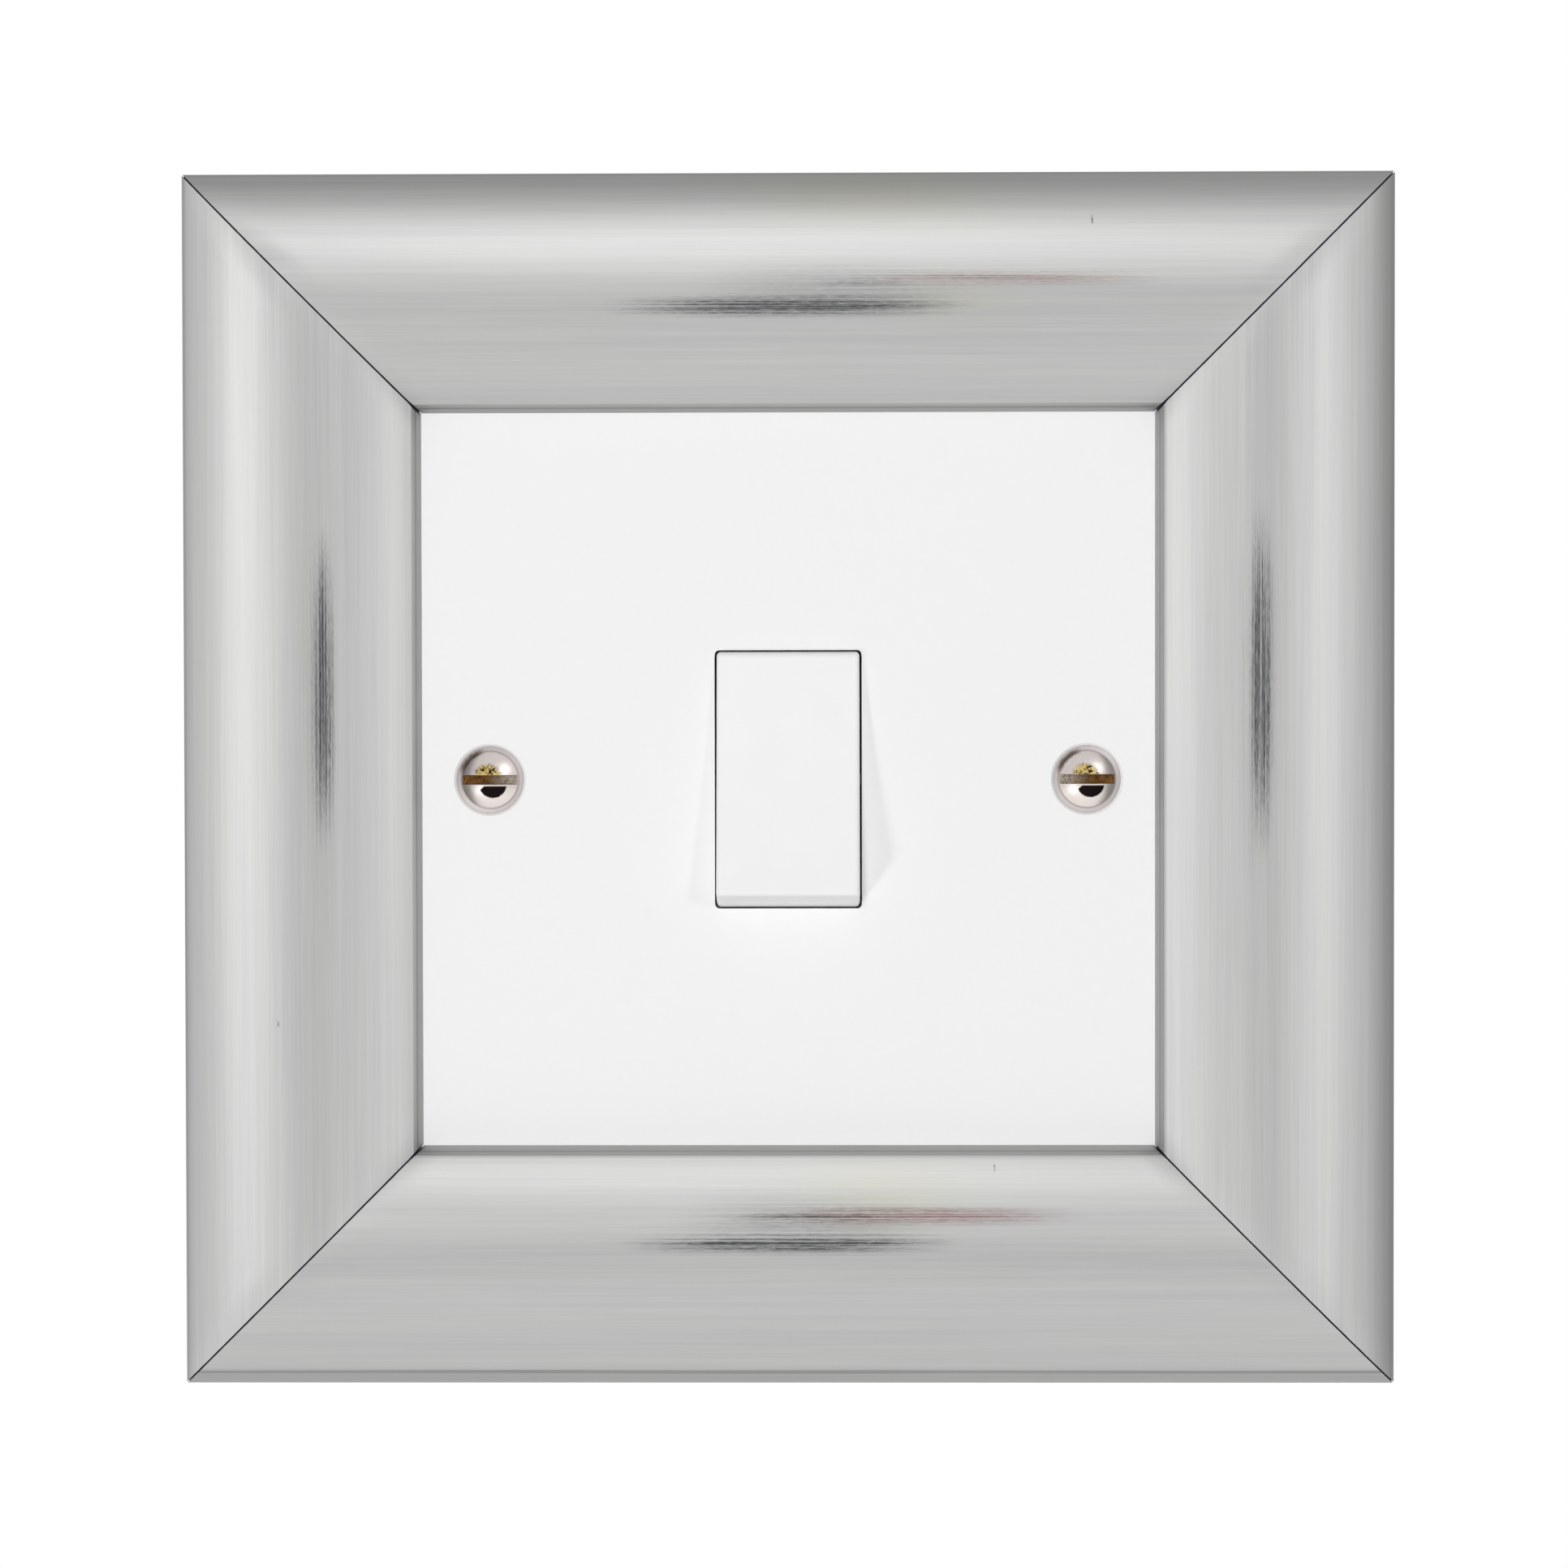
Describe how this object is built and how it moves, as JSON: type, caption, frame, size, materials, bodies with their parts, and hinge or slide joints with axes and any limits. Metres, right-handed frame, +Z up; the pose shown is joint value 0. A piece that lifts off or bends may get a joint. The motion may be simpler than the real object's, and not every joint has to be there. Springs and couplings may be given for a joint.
{
  "type": "light switch",
  "caption": "Square wall light switch: flat plate with a rocker and two slotted screws in a mitred domed picture-frame moulding, with pillars, moulded body, contacts and terminals behind.",
  "frame": {"origin": "midway between the two fixing screws, on the wall plane, at the moulding's flat back", "axes": "+X to the right seen from the room, +Z up, +Y into the wall; the switch faces -Y"},
  "size_m": [0.122, 0.0337, 0.122],
  "materials": {
    "silvered_moulding": "silver foil rubbed along the grain, over a wood moulding",
    "zinc_steel": "bright zinc plate",
    "white_plate": "satin white paint",
    "nickel_screw": "nickel plate",
    "white_rocker": "smooth white moulding",
    "plunger_nylon": "natural moulding",
    "spring_steel": "drawn wire",
    "contact_brass": "rolled strip",
    "contact_silver": "silver rivet",
    "terminal_brass": "drawn bar",
    "terminal_screw_steel": "passivated zinc plate",
    "carrier_moulding": "matt moulding",
    "base_moulding": "matt thermoset moulding"
  },
  "bodies": {
    "wall_part": {"rail_top": "silvered_moulding", "rail_bottom": "silvered_moulding", "rail_left": "silvered_moulding", "rail_right": "silvered_moulding", "corner_v_nails": "zinc_steel", "frame_screws": "zinc_steel", "front_plate": "white_plate", "fixing_screw_left": "nickel_screw", "fixing_screw_right": "nickel_screw", "rocker_carrier": "carrier_moulding", "contact_base": "base_moulding", "module_pillars": "terminal_brass", "module_screws": "terminal_screw_steel", "common_bracket": "contact_brass", "upper_contact_strip": "contact_brass", "lower_contact_strip": "contact_brass", "fixed_contact_tips": "contact_silver", "upper_terminal": "terminal_brass", "common_terminal": "terminal_brass", "lower_terminal": "terminal_brass", "terminal_screws": "terminal_screw_steel", "earth_terminal": "terminal_brass", "earth_screw": "terminal_screw_steel"},
    "rocker": {"rocker": "white_rocker", "plunger_spring": "spring_steel"},
    "plunger": {"plunger": "plunger_nylon"},
    "see_saw": {"moving_contact": "contact_brass", "moving_contact_tips": "contact_silver"}
  },
  "joints": [
    {"name": "rocker_tilt", "type": "hinge", "parent": "wall_part", "child": "rocker", "pos_m": [0, -0.003, 0], "axis": [1, 0, 0], "range_deg": [0, 16]},
    {"name": "contact_tilt", "type": "hinge", "parent": "wall_part", "child": "see_saw", "pos_m": [0, 0.0072, 0], "axis": [1, 0, 0], "range_deg": [-20, 0]},
    {"name": "plunger_slide", "type": "slide", "parent": "rocker", "child": "plunger", "axis": [0, 0.9903, -0.1392], "range_m": [-0.0012, 0], "stiffness_N_per_m": 1200, "deforming": ["plunger_spring"]}
  ],
  "couplings": [
    {"joint": "contact_tilt", "follows": "rocker_tilt", "ratio": -1.25}
  ]
}
